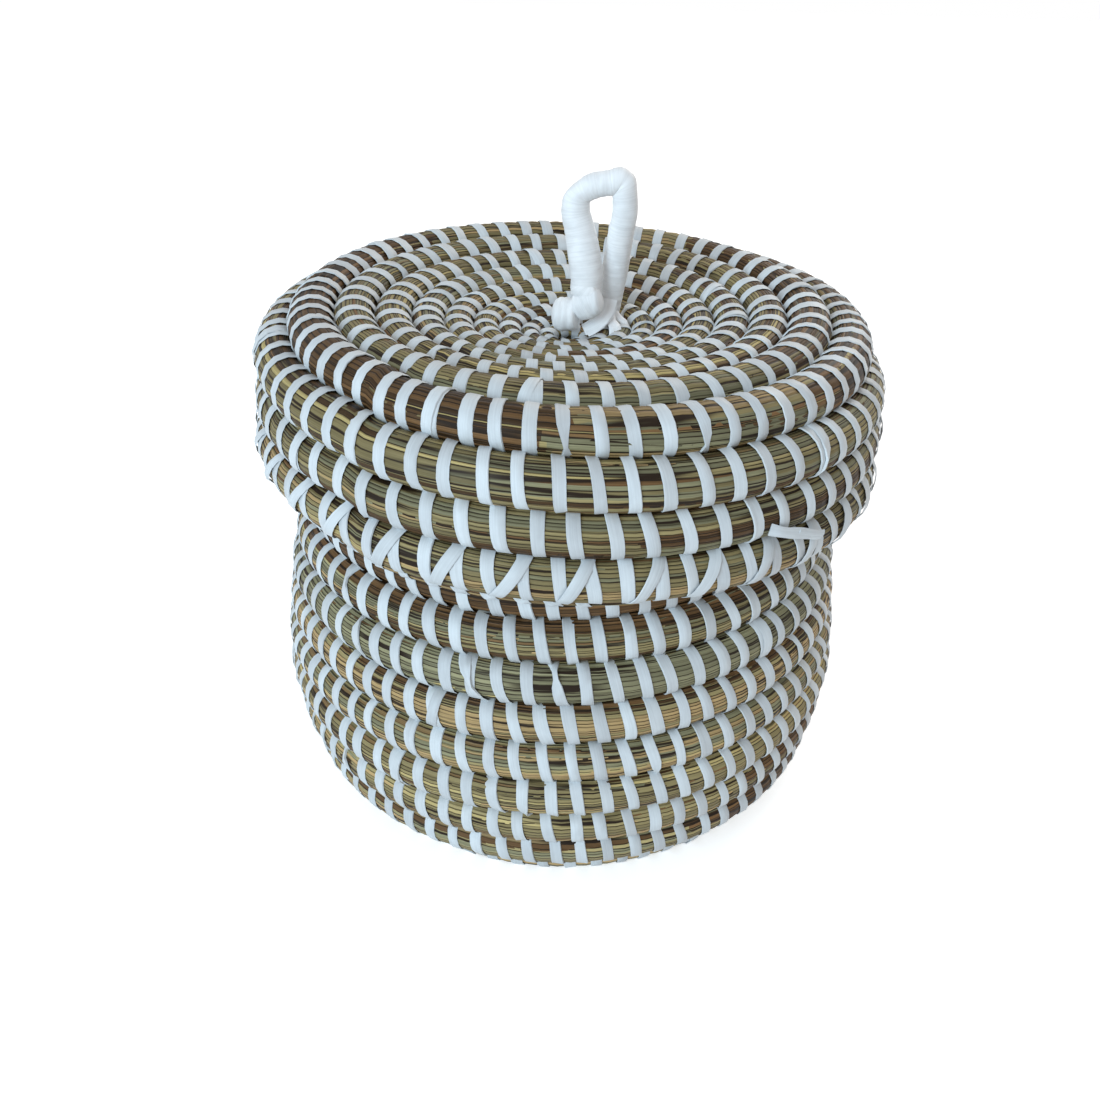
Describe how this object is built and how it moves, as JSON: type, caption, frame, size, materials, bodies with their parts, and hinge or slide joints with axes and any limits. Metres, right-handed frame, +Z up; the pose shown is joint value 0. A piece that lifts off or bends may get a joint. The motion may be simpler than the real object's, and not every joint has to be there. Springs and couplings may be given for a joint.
{
  "type": "coiled grass lidded box",
  "caption": "Round coiled grass basket with a drop-over cap lid, white strip stitching in slanting columns, and a small wrapped loop handle on the lid.",
  "frame": {"origin": "on the surface that the basket stands on, under the middle of the object's outline", "axes": "+Z up along the basket's axis, -Y towards the pictured front, +X to the right as seen from the front"},
  "size_m": [0.2374, 0.2376, 0.2395],
  "materials": {
    "grass": "dry grass stems, dull, khaki to brown",
    "strip": "soft white plastic strip, slight sheen",
    "core": "dry grass stems, dull"
  },
  "bodies": {
    "basket": {"basket_base": "grass", "basket_wall": "grass", "basket_mouth": "grass"},
    "lid": {"lid_top": "grass", "lid_rim": "grass", "rim_cross_stitch": "strip", "handle_wrap": "strip", "handle_core": "core", "handle_knot": "strip", "foot_strap_1": "strip", "foot_strap_2": "strip", "foot_strap_3": "strip"}
  },
  "joints": [
    {"name": "lid_lift", "type": "slide", "parent": "basket", "child": "lid", "axis": [0, 0, 1], "range_m": [0, 0.08]}
  ]
}
